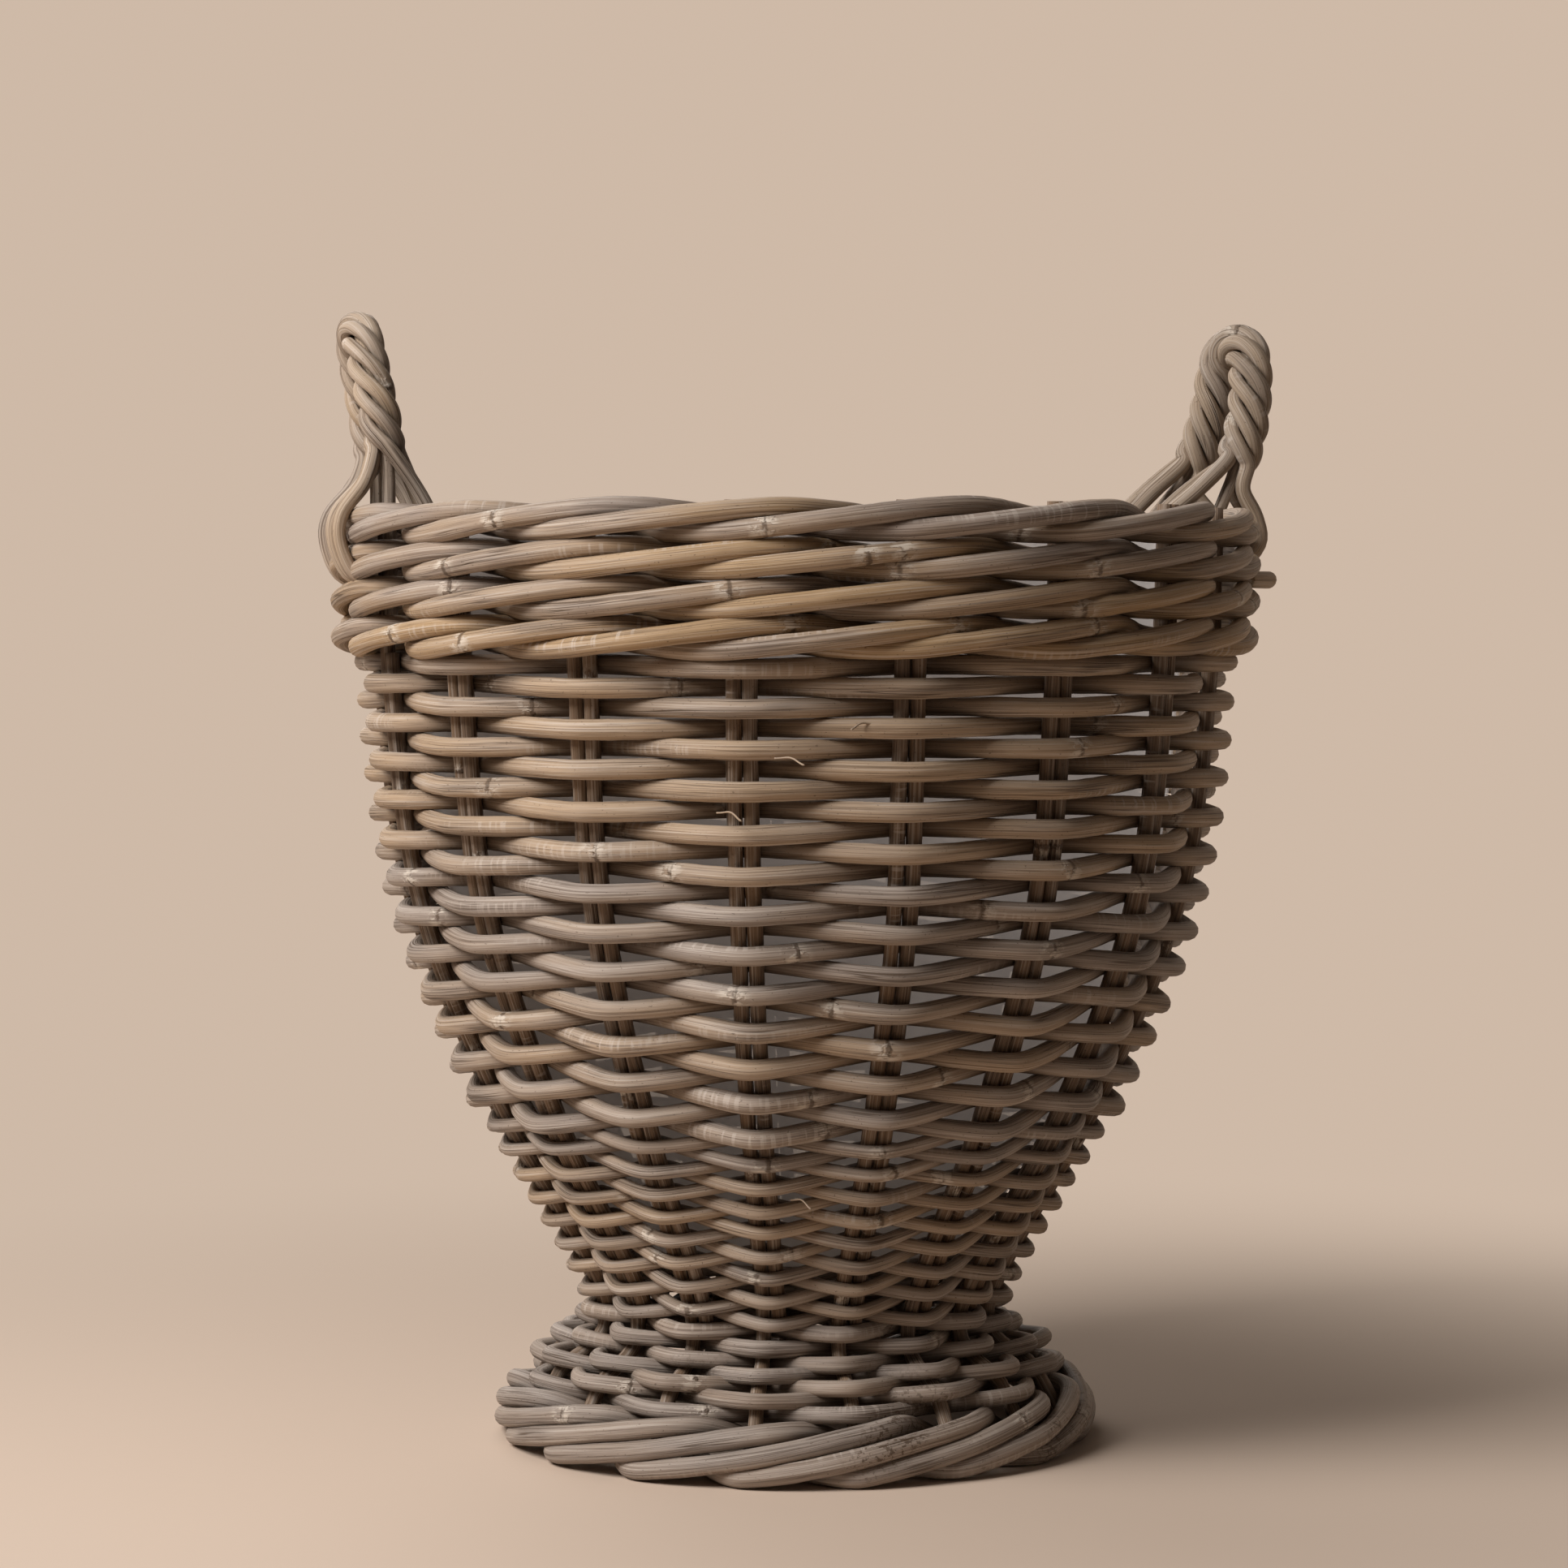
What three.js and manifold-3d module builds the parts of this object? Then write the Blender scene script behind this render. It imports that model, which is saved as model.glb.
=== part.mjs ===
// Rattan urn: a woven bowl on a flared foot, with a waled rim, two rope handles and a plastic liner.
// Millimetres, +Z up. The origin is on the floor, on the urn's axis. The front faces -Y.
import * as THREE from "three";
import { mergeVertices } from "three/addons/utils/BufferGeometryUtils.js";
import Module from "manifold-3d";

const wasm = await Module();
wasm.setup();

// Stakes: the upright canes, set in pairs round the wall.
const STAKE_COUNT = 17; // an odd count lets one cane weave over and under for turn after turn
const STAKE_DIAMETER = 7.2;

// The wall's meridian, through the stakes' middles, from the foot up to the rim.
const FOOT_RADIUS = 132;
const FOOT_HEIGHT = 9;
const FLARE_RADIUS = 118;
const FLARE_HEIGHT = 35;
const WAIST_RADIUS = 94;
const WAIST_HEIGHT = 68;
const RIM_RADIUS = 203;
const RIM_HEIGHT = 450;
const HIP_RADIUS = WAIST_RADIUS + 0.515 * (RIM_RADIUS - WAIST_RADIUS);
const HIP_HEIGHT = 170;
const BELLY_RADIUS = WAIST_RADIUS + 0.865 * (RIM_RADIUS - WAIST_RADIUS);
const BELLY_HEIGHT = 266;
const SHOULDER_RADIUS = RIM_RADIUS - 2; // the wall stands nearly upright under the rim
const SHOULDER_HEIGHT = 366;
const WALL_STEPS = 12; // straight lengths that a bent stake is made of, two between stations

// Weaving canes: thin ones over the hip, thick ones above, and one in the foot.
const THIN_CANE = 6.1;
const THICK_CANE = 8.5;
const FOOT_CANE = 6.2;
const THIN_ROWS = 16;
const THIN_CANE_COUNT = 2;
const THICK_CANE_COUNT = 4;
const ROW_SLACK = 0.6; // room between one row and the next
const FIRST_ROW = 4; // along the wall, from the waist to the nearest row above or below it
const CANE_END = 0.12; // how far a cane stops short of the next one, in stake spacings
const RISE_STAKES = 3; // the stakes at the back over which a row climbs onto the next

// Wale: three rods twisted round the rim, each in front of two stakes and behind one.
const WALE_ROD = 7.3;
const WALE_RODS = 3;
const WALE_BANDS = 4;
const WALE_PITCH = 17.2;
const WALE_CLIMB = 14; // rise of a rod along its run outside the wall
const WALE_LEAD = 18.5; // how far a rod stands out of the stakes where it comes out
const WALE_TRAIL = 11; // and where it goes back in
const WALE_INSIDE = 10.6; // and behind the stake
const WALE_TUCK = 2.5; // how far below its middle a rod passes behind the stake
const WALE_OVERHANG = 0.25; // how far a run outside reaches past its two stakes, in stake spacings

// Foot: rows of one cane, and a border of four rods that the urn stands on.
const BORDER_ROD = 7.5;
const BORDER_RODS = 4;
const BORDER_CLIMB = 23; // rise of a rod along its run outside the stakes
const BORDER_OVERHANG = 0.2; // how far that run reaches past its three stakes, in stake spacings
const BORDER_DIVE = 0.4; // half a rod's run behind the fourth stake, in stake spacings
const BORDER_SEAT = 1; // depth of the flats worn on the floor

// Handles: a bow beside two neighbouring stakes, with four canes laid round it.
const HANDLE_STAKES = [-5, 4]; // the first stake of each handle, counted from the front
const HANDLE_LEANS = [12, 21]; // how far each grip leans out past its legs
const HANDLE_RISE = 84; // from the rim up to the bow's top
const HANDLE_GRIP = 24; // half the bow's width just under the grip
const BOW_DIAMETER = 6.2;
const BOW_STEPS = 20;
const LAID_CANE = 5.8;
const LAID_CANES = 4;
const LAY_LENGTH = 60; // along the bow, for one turn of a laid cane
const LAY_STEPS = 6; // straight lengths in a turn
const LAY_START = 22; // from the rim's top up to where the laying begins
const STRAP_DEPTH = 34; // how far the outer ends reach down over the wale
const TAIL_DEPTH = 24; // and the inner ends inside it

// Liner and base.
const LINER_WALL = 1.2;
const LINER_DROP = 6; // the liner's edge below the rim's top
const LINER_SEGMENTS = 17;
const BASE_THICKNESS = 7;
const BASE_RISE = 16; // the base's underside above the waist

const CLEARANCE = 0.3;
const HANDLE_TOP = RIM_HEIGHT + HANDLE_RISE;
const SPACING = (2 * Math.PI) / STAKE_COUNT;
const STAKE_RADIUS = STAKE_DIAMETER / 2;
const PAIR_OFFSET = STAKE_RADIUS + CLEARANCE / 2;
const FRONT_STAKE = (STAKE_COUNT - 1) / 2; // stakes are counted from the back, so this one faces front

const RATTAN = { color: 0x8f7f6b, roughness: 0.62, metalness: 0 };
const RATTAN_GREY = { color: 0x82766a, roughness: 0.66, metalness: 0 };
const RATTAN_TAN = { color: 0xa58a66, roughness: 0.55, metalness: 0 };
const FILM = { color: 0xa7a2a6, roughness: 0.35, metalness: 0 };

const urn = new THREE.Group();

function addPiece(name, geometry, finish) {
  const mesh = new THREE.Mesh(geometry, new THREE.MeshStandardMaterial(finish));
  mesh.name = name;
  urn.add(mesh);
}

// Angle about the axis of stake k, counted from the back; k may lie between stakes.
function angleOf(k) {
  return -Math.PI / 2 + (k - FRONT_STAKE) * SPACING;
}

function polar(radius, angle, height) {
  return new THREE.Vector3(radius * Math.cos(angle), radius * Math.sin(angle), height);
}

// A closed cane: a ring of corners at each point of its path, square to the path there.
// facing gives, for each point, the way that the ring's first corner looks.
function sweep(path, radius, sides, facing) {
  const positions = [];
  const index = [];
  const last = path.length - 1;
  path.forEach((point, i) => {
    const before = path[Math.max(i - 1, 0)];
    const after = path[Math.min(i + 1, last)];
    const arriving = point.clone().sub(before).normalize();
    const leaving = after.clone().sub(point).normalize();
    const along = arriving.add(leaving).normalize();
    const u = facing[i].clone().addScaledVector(along, -facing[i].dot(along)).normalize();
    const v = along.clone().cross(u);
    for (let j = 0; j < sides; j += 1) {
      const turn = (2 * Math.PI * j) / sides;
      const corner = point.clone();
      corner.addScaledVector(u, radius * Math.cos(turn));
      corner.addScaledVector(v, radius * Math.sin(turn));
      positions.push(corner.x, corner.y, corner.z);
    }
  });
  for (let i = 0; i < last; i += 1) {
    for (let j = 0; j < sides; j += 1) {
      const a = i * sides + j;
      const b = i * sides + ((j + 1) % sides);
      index.push(a, b, b + sides, a, b + sides, a + sides);
    }
  }
  for (let j = 1; j < sides - 1; j += 1) {
    index.push(0, j + 1, j);
    index.push(last * sides, last * sides + j, last * sides + j + 1);
  }
  const geometry = new THREE.BufferGeometry();
  geometry.setAttribute("position", new THREE.Float32BufferAttribute(positions, 3));
  geometry.setIndex(index);
  return geometry;
}

function toSolid(geometry) {
  const bare = geometry.clone();
  bare.deleteAttribute("normal");
  bare.deleteAttribute("uv");
  const merged = mergeVertices(bare);
  return new wasm.Manifold(
    new wasm.Mesh({
      numProp: 3,
      vertProperties: new Float32Array(merged.attributes.position.array),
      triVerts: new Uint32Array(merged.index.array),
    }),
  );
}

function toGeometry(solid) {
  const mesh = solid.getMesh();
  const geometry = new THREE.BufferGeometry();
  geometry.setAttribute("position", new THREE.Float32BufferAttribute(mesh.vertProperties, 3));
  geometry.setIndex([...mesh.triVerts]);
  return geometry;
}

// The wall: the meridian as the straight lengths that every stake and row follows.
const meridian = new THREE.SplineCurve([
  new THREE.Vector2(FOOT_RADIUS, FOOT_HEIGHT),
  new THREE.Vector2(FLARE_RADIUS, FLARE_HEIGHT),
  new THREE.Vector2(WAIST_RADIUS, WAIST_HEIGHT),
  new THREE.Vector2(HIP_RADIUS, HIP_HEIGHT),
  new THREE.Vector2(BELLY_RADIUS, BELLY_HEIGHT),
  new THREE.Vector2(SHOULDER_RADIUS, SHOULDER_HEIGHT),
  new THREE.Vector2(RIM_RADIUS, RIM_HEIGHT),
]);
const wall = meridian.getPoints(WALL_STEPS);
const wallStart = [0];
for (let i = 1; i <= WALL_STEPS; i += 1) {
  wallStart.push(wallStart[i - 1] + wall[i].distanceTo(wall[i - 1]));
}
const wallLength = wallStart[WALL_STEPS];
const wallNormals = wall.map((_, i) => {
  const run = wall[Math.min(i + 1, WALL_STEPS)].clone().sub(wall[Math.max(i - 1, 0)]).normalize();
  return new THREE.Vector2(run.y, -run.x);
});

// Point and outward normal of the wall at a distance along it from the foot.
function wallAt(distance) {
  let i = 1;
  while (i < WALL_STEPS && wallStart[i] < distance) {
    i += 1;
  }
  const share = (distance - wallStart[i - 1]) / (wallStart[i] - wallStart[i - 1]);
  return {
    point: wall[i - 1].clone().lerp(wall[i], share),
    normal: wallNormals[i - 1].clone().lerp(wallNormals[i], share).normalize(),
  };
}

// Distance along the wall at a height; the wall only ever climbs.
function wallDistance(height) {
  let i = 1;
  while (i < WALL_STEPS && wall[i].y < height) {
    i += 1;
  }
  const share = (height - wall[i - 1].y) / (wall[i].y - wall[i - 1].y);
  return wallStart[i - 1] + share * (wallStart[i] - wallStart[i - 1]);
}

const waist = wallDistance(WAIST_HEIGHT);
const waleFloor = RIM_HEIGHT - WALE_BANDS * WALE_PITCH + CLEARANCE;

// How far a cane's middle bends out from the stakes, so that its straight runs clear the stakes.
// side is 1 in front of a stake and -1 behind it, and reach is half the stakes' spread.
function bend(radius, caneRadius, side, reach) {
  const run = radius * SPACING;
  const needed = STAKE_RADIUS + caneRadius + CLEARANCE;
  let out = needed;
  for (let pass = 0; pass < 8; pass += 1) {
    const slope = Math.max((2 * out) / run + side * Math.tan(SPACING / 2), 0);
    out = needed * Math.hypot(1, slope) + slope * reach;
  }
  return out;
}

// Rows climbed after k stakes: level round the front, then up by one row over the back.
function rowsClimbed(k) {
  const turn = Math.floor(k / STAKE_COUNT);
  const past = k - turn * STAKE_COUNT;
  const climb = (past - (STAKE_COUNT - RISE_STAKES)) / RISE_STAKES;
  return turn + Math.max(climb, 0);
}

// A woven cane from stake first to stake last: over one stake, under the next.
// rowDistance gives the distance along the wall of a number of rows climbed, and shift is how far
// the stakes it goes round stand beside their places.
function woven(first, last, caneRadius, sides, reach, shift, rowDistance) {
  const stops = [first + CANE_END];
  for (let k = Math.ceil(first) + 1; k < last; k += 1) {
    stops.push(k);
  }
  stops.push(last - CANE_END);
  const path = [];
  const facing = [];
  for (const k of stops) {
    const at = wallAt(rowDistance(rowsClimbed(k)));
    const whole = Math.round(k);
    const side = whole % 2 ? 1 : -1;
    const out = bend(at.point.x, caneRadius, side, reach) * side;
    const angle = angleOf(k) + shift / at.point.x;
    path.push(polar(at.point.x + out * at.normal.x, angle, at.point.y + out * at.normal.y));
    facing.push(polar(at.normal.x, angle, at.normal.y));
  }
  return sweep(path, caneRadius, sides, facing);
}

// Stakes: a main stake from the rim down into the foot, and a bye-stake beside it from the waist up.
const bowStakes = HANDLE_STAKES.flatMap((first) => [first, first + 1]).map((j) => j + FRONT_STAKE);

function stakePath(k, offset, from, to) {
  const inner = wallStart.filter((d) => d > from + STAKE_DIAMETER && d < to - STAKE_DIAMETER);
  const path = [];
  const facing = [];
  for (const distance of [from, ...inner, to]) {
    const { point, normal } = wallAt(distance);
    const angle = angleOf(k) + offset / point.x;
    path.push(polar(point.x, angle, point.y));
    facing.push(polar(normal.x, angle, normal.y));
  }
  return { path, facing };
}

const STAKE_SIDES = 4;
for (let k = 0; k < STAKE_COUNT; k += 1) {
  const label = String(k + 1).padStart(2, "0");
  const main = stakePath(k, -PAIR_OFFSET, 0, wallLength);
  addPiece(`main_stake_${label}`, sweep(main.path, STAKE_RADIUS, STAKE_SIDES, main.facing), RATTAN_GREY);
  const top = bowStakes.includes(k) ? wallDistance(waleFloor - CLEARANCE) : wallLength;
  const bye = stakePath(k, PAIR_OFFSET, waist, top);
  addPiece(`bye_stake_${label}`, sweep(bye.path, STAKE_RADIUS, STAKE_SIDES, bye.facing), RATTAN_GREY);
}

// Bowl: thin rows from the waist over the hip, then thick rows up to the wale.
const thinPitch = THIN_CANE + ROW_SLACK;
const closestPitch = THICK_CANE + ROW_SLACK;
const weaveStart = waist + FIRST_ROW;
const weaveTop = wallDistance(waleFloor) - THICK_CANE / 2 - CLEARANCE;
const thinTop = weaveStart + THIN_ROWS * thinPitch;
const rise = (closestPitch - thinPitch) / 2;
const thickRows = Math.floor((weaveTop - thinTop - rise) / closestPitch) + 1;
const thickPitch = (weaveTop - thinTop + thinPitch / 2) / (thickRows - 0.5);
const stepUp = (thickPitch - thinPitch) / 2;

// The row pitch widens over the last thin row.
function bowlRow(rows) {
  const widening = Math.min(Math.max(rows - (THIN_ROWS - 1), 0), 1);
  const thick = Math.max(rows - THIN_ROWS, 0);
  const thin = rows - thick;
  return weaveStart + thin * thinPitch + widening * widening * stepUp + thick * thickPitch;
}

const topRow = THIN_ROWS + thickRows;
function bowlCanes(name, firstRow, lastRow, count, diameter, sides, finish) {
  const ending = lastRow === topRow ? 1 : 0; // the last cane stops a stake before the wale begins
  const stakes = (lastRow - firstRow) * STAKE_COUNT - ending;
  for (let i = 0; i < count; i += 1) {
    const from = firstRow * STAKE_COUNT + 2 * Math.round((stakes * i) / count / 2);
    const to = firstRow * STAKE_COUNT + 2 * Math.round((stakes * (i + 1)) / count / 2);
    const cane = woven(from, to, diameter / 2, sides, PAIR_OFFSET, 0, bowlRow);
    addPiece(`${name}_${i + 1}`, cane, finish);
  }
}

const THIN_SIDES = 4;
const THICK_SIDES = 5;
bowlCanes("hip_weaver", 0, THIN_ROWS, THIN_CANE_COUNT, THIN_CANE, THIN_SIDES, RATTAN);
bowlCanes("bowl_weaver", THIN_ROWS, topRow, THICK_CANE_COUNT, THICK_CANE, THICK_SIDES, RATTAN);

// Wale: each rod comes out low, climbs past two stakes, goes in high and drops behind the third.
const WALE_SIDES = 4;
const waleStart = waleFloor + WALE_PITCH / 2;
const waleEnd = WALE_BANDS * STAKE_COUNT - RISE_STAKES; // the top band stops where the one below comes up
for (let rod = 0; rod < WALE_RODS; rod += 1) {
  const path = [];
  const facing = [];
  for (let k = rod; k + WALE_RODS <= waleEnd; k += WALE_RODS) {
    const stops = [
      [k - WALE_OVERHANG, WALE_LEAD, -WALE_CLIMB / 2],
      [k + 0.5, (WALE_LEAD + WALE_TRAIL) / 2, 0],
      [k + 1 + WALE_OVERHANG, WALE_TRAIL, WALE_CLIMB / 2],
      [k + 2, -WALE_INSIDE, -WALE_TUCK],
    ];
    for (const [stop, out, rise] of stops) {
      const height = waleStart + rowsClimbed(Math.max(stop, 0)) * WALE_PITCH + rise;
      const radius = wallAt(wallDistance(height)).point.x;
      const angle = angleOf(stop);
      path.push(polar(radius + out, angle, height));
      facing.push(polar(1, angle, 0));
    }
  }
  addPiece(`rim_wale_${rod + 1}`, sweep(path, WALE_ROD / 2, WALE_SIDES, facing), RATTAN_TAN);
}

// Border: four rods, each in front of three stakes and behind the fourth, worn flat on the floor.
const BORDER_SIDES = 5;
const borderRadius = BORDER_ROD / 2;
const borderLow = borderRadius - BORDER_SEAT;
const borderHigh = borderLow + BORDER_CLIMB;
const borderBend = STAKE_RADIUS + borderRadius + CLEARANCE;
const aboveFloor = new THREE.BoxGeometry(4 * FOOT_RADIUS, 4 * FOOT_RADIUS, 2 * WAIST_HEIGHT);
aboveFloor.translate(0, 0, WAIST_HEIGHT);

// A straight length lies nearer the axis between its ends, so its ends are set further out. Outside
// it runs from its overhang to the middle stake, and inside from dive to dive about the fourth.
const outerReach = ((1 + BORDER_OVERHANG) * SPACING) / 2;
const outerSag = Math.cos(outerReach - BORDER_OVERHANG * SPACING) / Math.cos(outerReach);
const innerSag = 1 / Math.cos(BORDER_DIVE * SPACING);

// Radius of a rod that lies against the stakes at a height, outside (1) or inside (-1).
function borderRadiusAt(height, side) {
  const { point, normal } = wallAt(Math.max(wallDistance(height), 0));
  return (point.x + (side * borderBend) / normal.x) * (side > 0 ? outerSag : innerSag);
}

for (let rod = 0; rod < BORDER_RODS; rod += 1) {
  const stops = [];
  const end = rod + STAKE_COUNT - BORDER_RODS;
  for (let k = rod; k < end; k += BORDER_RODS) {
    const third = k + BORDER_RODS - 2;
    const fourth = third + 1;
    stops.push([k - BORDER_OVERHANG, 1, 0]);
    stops.push([(k + third) / 2, 1, 0.5]);
    stops.push([third + BORDER_OVERHANG, 1, 1]);
    stops.push([fourth - BORDER_DIVE, -1, 0.8]);
    stops.push([fourth + BORDER_DIVE, -1, 0.2]);
  }
  const path = [];
  const facing = [];
  for (const [k, side, rise] of stops) {
    const height = borderLow + rise * BORDER_CLIMB;
    const angle = angleOf(k) - PAIR_OFFSET / FOOT_RADIUS;
    path.push(polar(borderRadiusAt(side > 0 ? height : (borderLow + borderHigh) / 2, side), angle, height));
    facing.push(new THREE.Vector3(0, 0, -1));
  }
  const rodSolid = toSolid(sweep(path, borderRadius, BORDER_SIDES, facing));
  const worn = rodSolid.intersect(toSolid(aboveFloor));
  addPiece(`foot_border_${rod + 1}`, toGeometry(worn), RATTAN_GREY);
}

// Foot: rows over the single main stakes, counted down from the waist to the border, so that the
// top one and the bowl's first row pass each stake on opposite sides.
const FOOT_SIDES = 4;
const footTop = waist - FIRST_ROW;
const footBottom = wallDistance(borderHigh) + borderRadius + FOOT_CANE / 2;
const footRows = Math.floor((footTop - footBottom) / (FOOT_CANE + ROW_SLACK)) + 1;
const footPitch = (footTop - footBottom) / (footRows - 1);
const footWeaver = woven(
  -footRows * STAKE_COUNT,
  -RISE_STAKES,
  FOOT_CANE / 2,
  FOOT_SIDES,
  1.5 * STAKE_RADIUS,
  -PAIR_OFFSET,
  (rows) => footTop + (rows + 1) * footPitch,
);
addPiece("foot_weaver", footWeaver, RATTAN_GREY);

// Handles: the bow's legs stand in the wale beside two main stakes, where their bye-stakes stop short.
const legHeight = waleFloor + STAKE_DIAMETER;
const layHeight = RIM_HEIGHT + LAY_START;
const laidRadius = LAID_CANE / 2;
const dip = Math.cos(Math.PI / LAY_STEPS); // a straight length of a laid cane dips this near to the bow
const layRadius = (BOW_DIAMETER / 2 + laidRadius + 2 * CLEARANCE) / dip;
const strapOut = WALE_LEAD + WALE_ROD / 2 + laidRadius + CLEARANCE;
const tailIn = WALE_INSIDE + WALE_ROD / 2 + laidRadius + CLEARANCE;

function handle(name, firstStake, lean) {
  const k = firstStake + FRONT_STAKE;
  const middle = angleOf(k + 0.5) + PAIR_OFFSET / RIM_RADIUS;
  const outward = polar(1, middle, 0);
  const sideways = polar(1, middle + Math.PI / 2, 0);
  const legs = RIM_RADIUS * Math.sin(SPACING / 2);
  const legDepth = RIM_RADIUS * Math.cos(SPACING / 2);
  const place = (across, out, height) =>
    outward.clone().multiplyScalar(legDepth + out).addScaledVector(sideways, across).setZ(height);
  const shoulder = (layHeight + HANDLE_TOP) / 2;
  const half = [
    place(-legs, 0, legHeight),
    place(-legs, 0, (legHeight + RIM_HEIGHT) / 2),
    place(-legs, 0, RIM_HEIGHT),
    place(-(legs + HANDLE_GRIP) / 2, lean / 2, shoulder),
    place(-HANDLE_GRIP * 0.8, lean, HANDLE_TOP - HANDLE_GRIP / 3),
  ];
  const other = half.map((p) => p.clone().addScaledVector(sideways, -2 * p.dot(sideways))).reverse();
  const bow = new THREE.CatmullRomCurve3([...half, place(0, lean, HANDLE_TOP), ...other]);
  const bowPath = bow.getSpacedPoints(BOW_STEPS);
  const BOW_SIDES = 5;
  const bowFacing = bowPath.map(() => outward);
  addPiece(`${name}_bow`, sweep(bowPath, BOW_DIAMETER / 2, BOW_SIDES, bowFacing), RATTAN_GREY);

  // The laid canes turn about the bow between its two necks.
  const bowLength = bow.getLength();
  let neck = 0;
  while (bow.getPointAt(neck).z < layHeight) {
    neck += 1 / bowLength;
  }
  const laidLength = (1 - 2 * neck) * bowLength;
  const turns = Math.round((2 * laidLength) / LAY_LENGTH) / 2;
  const steps = Math.ceil(turns * LAY_STEPS);
  for (let cane = 0; cane < LAID_CANES; cane += 1) {
    const start = (2 * Math.PI * (cane + 0.5)) / LAID_CANES;
    const path = [];
    for (let i = 0; i <= steps; i += 1) {
      const share = neck + ((1 - 2 * neck) * i) / steps;
      const along = bow.getTangentAt(share);
      const across = along.clone().cross(outward).normalize();
      const over = across.clone().cross(along);
      const turn = start - (2 * Math.PI * turns * i) / steps;
      const point = bow.getPointAt(share);
      point.addScaledVector(over, layRadius * Math.cos(turn));
      path.push(point.addScaledVector(across, layRadius * Math.sin(turn)));
    }
    const ends = [path[0], path[steps]].map((end, e) => {
      const spread = end.dot(sideways);
      const leg = e === 0 ? -legs : legs;
      const fan = leg + (spread - leg) * 1.2;
      const outside = end.dot(outward) > bow.getPointAt(neck).dot(outward);
      const drop = outside ? RIM_HEIGHT - STRAP_DEPTH : RIM_HEIGHT - TAIL_DEPTH;
      const depth = Math.sqrt(RIM_RADIUS ** 2 - fan ** 2) - legDepth;
      const clear = outside ? strapOut : -tailIn;
      return [
        place(fan, depth + clear, RIM_HEIGHT + STAKE_RADIUS),
        place(fan, depth + clear, drop),
      ];
    });
    const whole = [ends[0][1], ends[0][0], ...path, ...ends[1]];
    const LAID_SIDES = 4;
    const facing = whole.map(() => outward.clone().addScaledVector(sideways, 0.01));
    addPiece(`${name}_cane_${cane + 1}`, sweep(whole, laidRadius, LAID_SIDES, facing), RATTAN);
  }
}

handle("left_handle", HANDLE_STAKES[0], HANDLE_LEANS[0]);
handle("right_handle", HANDLE_STAKES[1], HANDLE_LEANS[1]);

// Base: a round woven mat, domed a little, that lies in the waist and carries the liner.
const insideReach = (cane) => STAKE_DIAMETER + cane * 1.5;
const baseBottom = WAIST_HEIGHT + BASE_RISE;
const baseTop = baseBottom + BASE_THICKNESS;
const baseWall = wallAt(wallDistance(baseBottom));
const baseRadius = baseWall.point.x - insideReach(THIN_CANE);
const baseMat = new THREE.LatheGeometry(
  [
    new THREE.Vector2(0, baseBottom),
    new THREE.Vector2(baseRadius - BASE_THICKNESS / 2, baseBottom),
    new THREE.Vector2(baseRadius, (baseBottom + baseTop) / 2),
    new THREE.Vector2(baseRadius - BASE_THICKNESS / 2, baseTop),
    new THREE.Vector2(0, baseTop),
  ],
  LINER_SEGMENTS,
);
baseMat.rotateX(Math.PI / 2);
addPiece("base_mat", baseMat, RATTAN_GREY);

// Liner: a thin plastic bowl that follows the inside of the wall and stands on the base.
const linerBottom = baseTop + CLEARANCE;
const linerTop = RIM_HEIGHT - LINER_DROP;
const rimInside = RIM_RADIUS - tailIn - laidRadius - CLEARANCE;
const linerFrom = wallDistance(linerBottom + THICK_CANE);
const linerTo = wallDistance(waleFloor - WALE_PITCH);
const linerWall = wallStart
  .filter((d) => d > linerFrom + THICK_CANE && d < linerTo - THICK_CANE)
  .map((d) => wallAt(d))
  .map(({ point, normal }) => point.clone().addScaledVector(normal, -insideReach(THICK_CANE)));
const linerFoot = baseRadius - BASE_THICKNESS;
const linerOutside = [
  new THREE.Vector2(linerFoot, linerBottom),
  ...linerWall,
  new THREE.Vector2(rimInside, waleFloor),
  new THREE.Vector2(rimInside, linerTop),
];
const linerInside = linerOutside
  .map((p, i) => new THREE.Vector2(p.x - LINER_WALL, i === 0 ? p.y + LINER_WALL : p.y))
  .reverse();
const liner = new THREE.LatheGeometry(
  [
    new THREE.Vector2(0, linerBottom),
    ...linerOutside,
    ...linerInside,
    new THREE.Vector2(0, linerBottom + LINER_WALL),
  ],
  LINER_SEGMENTS,
);
liner.rotateX(Math.PI / 2);
addPiece("liner", liner, FILM);

export default urn;
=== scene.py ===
# %% [markdown]
# # A rattan urn
# This lesson dresses a woven urn: a bowl on a flared foot, with a thick twisted rim and two rope
# handles. Each piece of cane is one long tube that goes in front of some uprights and behind others.
# The solids of the urn come in first, and every cane here stands for one of them, so that the
# dressed urn keeps the same pieces in the same places. Lengths are in millimetres until a mesh is made.

# %% Load the urn's solids
import bpy
import numpy as np
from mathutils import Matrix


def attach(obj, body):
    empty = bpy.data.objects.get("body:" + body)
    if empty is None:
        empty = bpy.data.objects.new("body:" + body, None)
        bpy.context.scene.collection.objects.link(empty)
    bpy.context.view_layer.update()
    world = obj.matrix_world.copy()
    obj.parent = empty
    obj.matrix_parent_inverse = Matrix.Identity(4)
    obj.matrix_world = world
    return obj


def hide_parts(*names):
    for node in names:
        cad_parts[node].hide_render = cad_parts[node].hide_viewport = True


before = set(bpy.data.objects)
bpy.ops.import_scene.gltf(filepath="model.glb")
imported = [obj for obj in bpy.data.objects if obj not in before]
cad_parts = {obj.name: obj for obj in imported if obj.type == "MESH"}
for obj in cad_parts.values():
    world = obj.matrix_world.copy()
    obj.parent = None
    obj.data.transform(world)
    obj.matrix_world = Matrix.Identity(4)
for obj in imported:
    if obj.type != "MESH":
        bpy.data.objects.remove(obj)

scene = bpy.context.scene
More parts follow.
